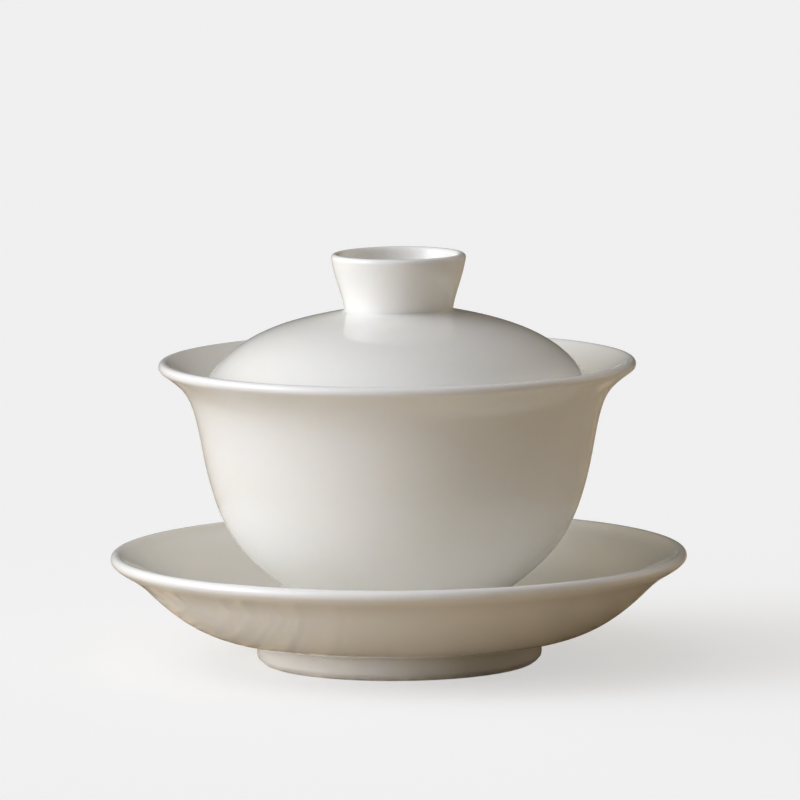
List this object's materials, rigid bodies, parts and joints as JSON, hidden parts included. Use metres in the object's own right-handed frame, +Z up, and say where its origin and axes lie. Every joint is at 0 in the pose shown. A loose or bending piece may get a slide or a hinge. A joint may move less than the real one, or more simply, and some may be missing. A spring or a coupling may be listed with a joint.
{
  "type": "gaiwan",
  "caption": "Ivory-white porcelain lidded tea bowl on a saucer: flared bowl, domed lid with a hollow flared knob, and a dished saucer on a foot ring.",
  "frame": {"origin": "centre of the face of the saucer's foot ring, on the table", "axes": "+Z up, along the axis that every piece is turned about; +X to the right and +Y away from the viewer"},
  "size_m": [0.115, 0.115, 0.0818],
  "materials": {
    "ivory_glaze": "glossy clear glaze over ivory-white porcelain, with a bare matt edge on each foot ring"
  },
  "bodies": {
    "saucer": {"saucer": "ivory_glaze"},
    "bowl": {"bowl": "ivory_glaze"},
    "lid": {"lid": "ivory_glaze", "lid_knob": "ivory_glaze"}
  },
  "joints": [
    {"name": "bowl_lift", "type": "slide", "parent": "saucer", "child": "bowl", "axis": [0, 0, 1], "range_m": [0, 0.06]},
    {"name": "lid_lift", "type": "slide", "parent": "bowl", "child": "lid", "axis": [0, 0, 1], "range_m": [0, 0.06]}
  ]
}
